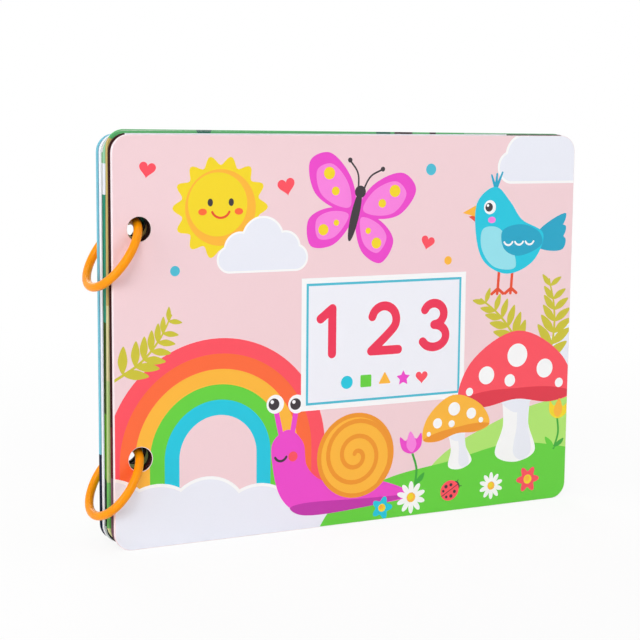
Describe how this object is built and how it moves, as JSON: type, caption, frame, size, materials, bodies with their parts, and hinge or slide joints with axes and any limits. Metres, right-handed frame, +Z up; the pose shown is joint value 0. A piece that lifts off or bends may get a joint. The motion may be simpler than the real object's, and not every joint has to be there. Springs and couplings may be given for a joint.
{
  "type": "quiet book",
  "caption": "Quiet book of laminated boards bound by snap rings, which opens like a fan, with picture cards that peel off hook-and-loop dots.",
  "frame": {"origin": "middle of the back cover's lower edge, on which the book stands", "axes": "+X from the spine to the free edges, +Y from the front cover to the back cover through the stack, +Z up"},
  "size_m": [0.2178, 0.0332, 0.1619],
  "materials": {
    "front_cover_board": "printed and laminated, satin",
    "page_1_board": "printed and laminated, satin",
    "round_card": "printed and laminated, satin",
    "square_card": "printed and laminated, satin",
    "triangle_card": "printed and laminated, satin",
    "page_2_board": "printed and laminated, satin",
    "star_card": "printed and laminated, satin",
    "heart_card": "printed and laminated, satin",
    "hexagon_card": "printed and laminated, satin",
    "page_3_board": "printed and laminated, satin",
    "sun_card": "printed and laminated, satin",
    "moon_card": "printed and laminated, satin",
    "cloud_card": "printed and laminated, satin",
    "page_4_board": "printed and laminated, satin",
    "flower_card": "printed and laminated, satin",
    "leaf_card": "printed and laminated, satin",
    "mushroom_card": "printed and laminated, satin",
    "back_cover_board": "printed and laminated, satin",
    "apple_card": "printed and laminated, satin",
    "drop_card": "printed and laminated, satin",
    "butterfly_card": "printed and laminated, satin",
    "hook_tape": "stiff hooks, matte",
    "loop_tape": "brushed loops, matte",
    "ring_plastic": "glossy moulded plastic"
  },
  "bodies": {
    "front_cover": {"front_cover": "front_cover_board"},
    "page_1": {"page_1": "page_1_board", "round_card": "round_card", "round_hook_dot": "hook_tape", "round_loop_dot": "loop_tape", "square_card": "square_card", "square_hook_dot": "hook_tape", "square_loop_dot": "loop_tape", "triangle_card": "triangle_card", "triangle_hook_dot": "hook_tape", "triangle_loop_dot": "loop_tape"},
    "page_2": {"page_2": "page_2_board", "star_card": "star_card", "star_hook_dot": "hook_tape", "star_loop_dot": "loop_tape", "heart_card": "heart_card", "heart_hook_dot": "hook_tape", "heart_loop_dot": "loop_tape", "hexagon_card": "hexagon_card", "hexagon_hook_dot": "hook_tape", "hexagon_loop_dot": "loop_tape"},
    "page_3": {"page_3": "page_3_board", "sun_card": "sun_card", "sun_hook_dot": "hook_tape", "sun_loop_dot": "loop_tape", "moon_card": "moon_card", "moon_hook_dot": "hook_tape", "moon_loop_dot": "loop_tape", "cloud_card": "cloud_card", "cloud_hook_dot": "hook_tape", "cloud_loop_dot": "loop_tape"},
    "page_4": {"page_4": "page_4_board", "flower_card": "flower_card", "flower_hook_dot": "hook_tape", "flower_loop_dot": "loop_tape", "leaf_card": "leaf_card", "leaf_hook_dot": "hook_tape", "leaf_loop_dot": "loop_tape", "mushroom_card": "mushroom_card", "mushroom_hook_dot": "hook_tape", "mushroom_loop_dot": "loop_tape"},
    "back_cover": {"back_cover": "back_cover_board", "apple_card": "apple_card", "apple_hook_dot": "hook_tape", "apple_loop_dot": "loop_tape", "drop_card": "drop_card", "drop_hook_dot": "hook_tape", "drop_loop_dot": "loop_tape", "butterfly_card": "butterfly_card", "butterfly_hook_dot": "hook_tape", "butterfly_loop_dot": "loop_tape"},
    "upper_ring": {"upper_ring": "ring_plastic"},
    "lower_ring": {"lower_ring": "ring_plastic"}
  },
  "joints": [
    {"name": "cover_opening", "type": "hinge", "parent": "back_cover", "child": "front_cover", "pos_m": [-0.10566, -0.0092, 0.08], "axis": [0, 0, -1], "range_deg": [0, 150]},
    {"name": "page_1_turning", "type": "hinge", "parent": "back_cover", "child": "page_1", "pos_m": [-0.10566, -0.0092, 0.08], "axis": [0, 0, -1], "range_deg": [0, 112.5]},
    {"name": "page_2_turning", "type": "hinge", "parent": "back_cover", "child": "page_2", "pos_m": [-0.10566, -0.0092, 0.08], "axis": [0, 0, -1], "range_deg": [0, 75]},
    {"name": "page_3_turning", "type": "hinge", "parent": "back_cover", "child": "page_3", "pos_m": [-0.10566, -0.0092, 0.08], "axis": [0, 0, -1], "range_deg": [0, 50]},
    {"name": "page_4_turning", "type": "hinge", "parent": "back_cover", "child": "page_4", "pos_m": [-0.10566, -0.0092, 0.08], "axis": [0, 0, -1], "range_deg": [0, 25]},
    {"name": "upper_ring_levelling", "type": "hinge", "parent": "page_2", "child": "upper_ring", "pos_m": [-0.09365, -0.0085, 0.12686], "axis": [-0.0868, 0.9946, -0.0567], "range_deg": [0, 53.2]},
    {"name": "lower_ring_levelling", "type": "hinge", "parent": "page_2", "child": "lower_ring", "pos_m": [-0.09365, -0.0085, 0.03806], "axis": [-0.0868, 0.9946, -0.0567], "range_deg": [0, 53.2]}
  ],
  "couplings": [
    {"joint": "page_1_turning", "follows": "cover_opening", "ratio": 0.75},
    {"joint": "page_2_turning", "follows": "cover_opening", "ratio": 0.5},
    {"joint": "page_3_turning", "follows": "cover_opening", "ratio": 0.33333},
    {"joint": "page_4_turning", "follows": "cover_opening", "ratio": 0.16667},
    {"joint": "upper_ring_levelling", "follows": "cover_opening", "ratio": 0.3546},
    {"joint": "lower_ring_levelling", "follows": "cover_opening", "ratio": 0.3546}
  ]
}
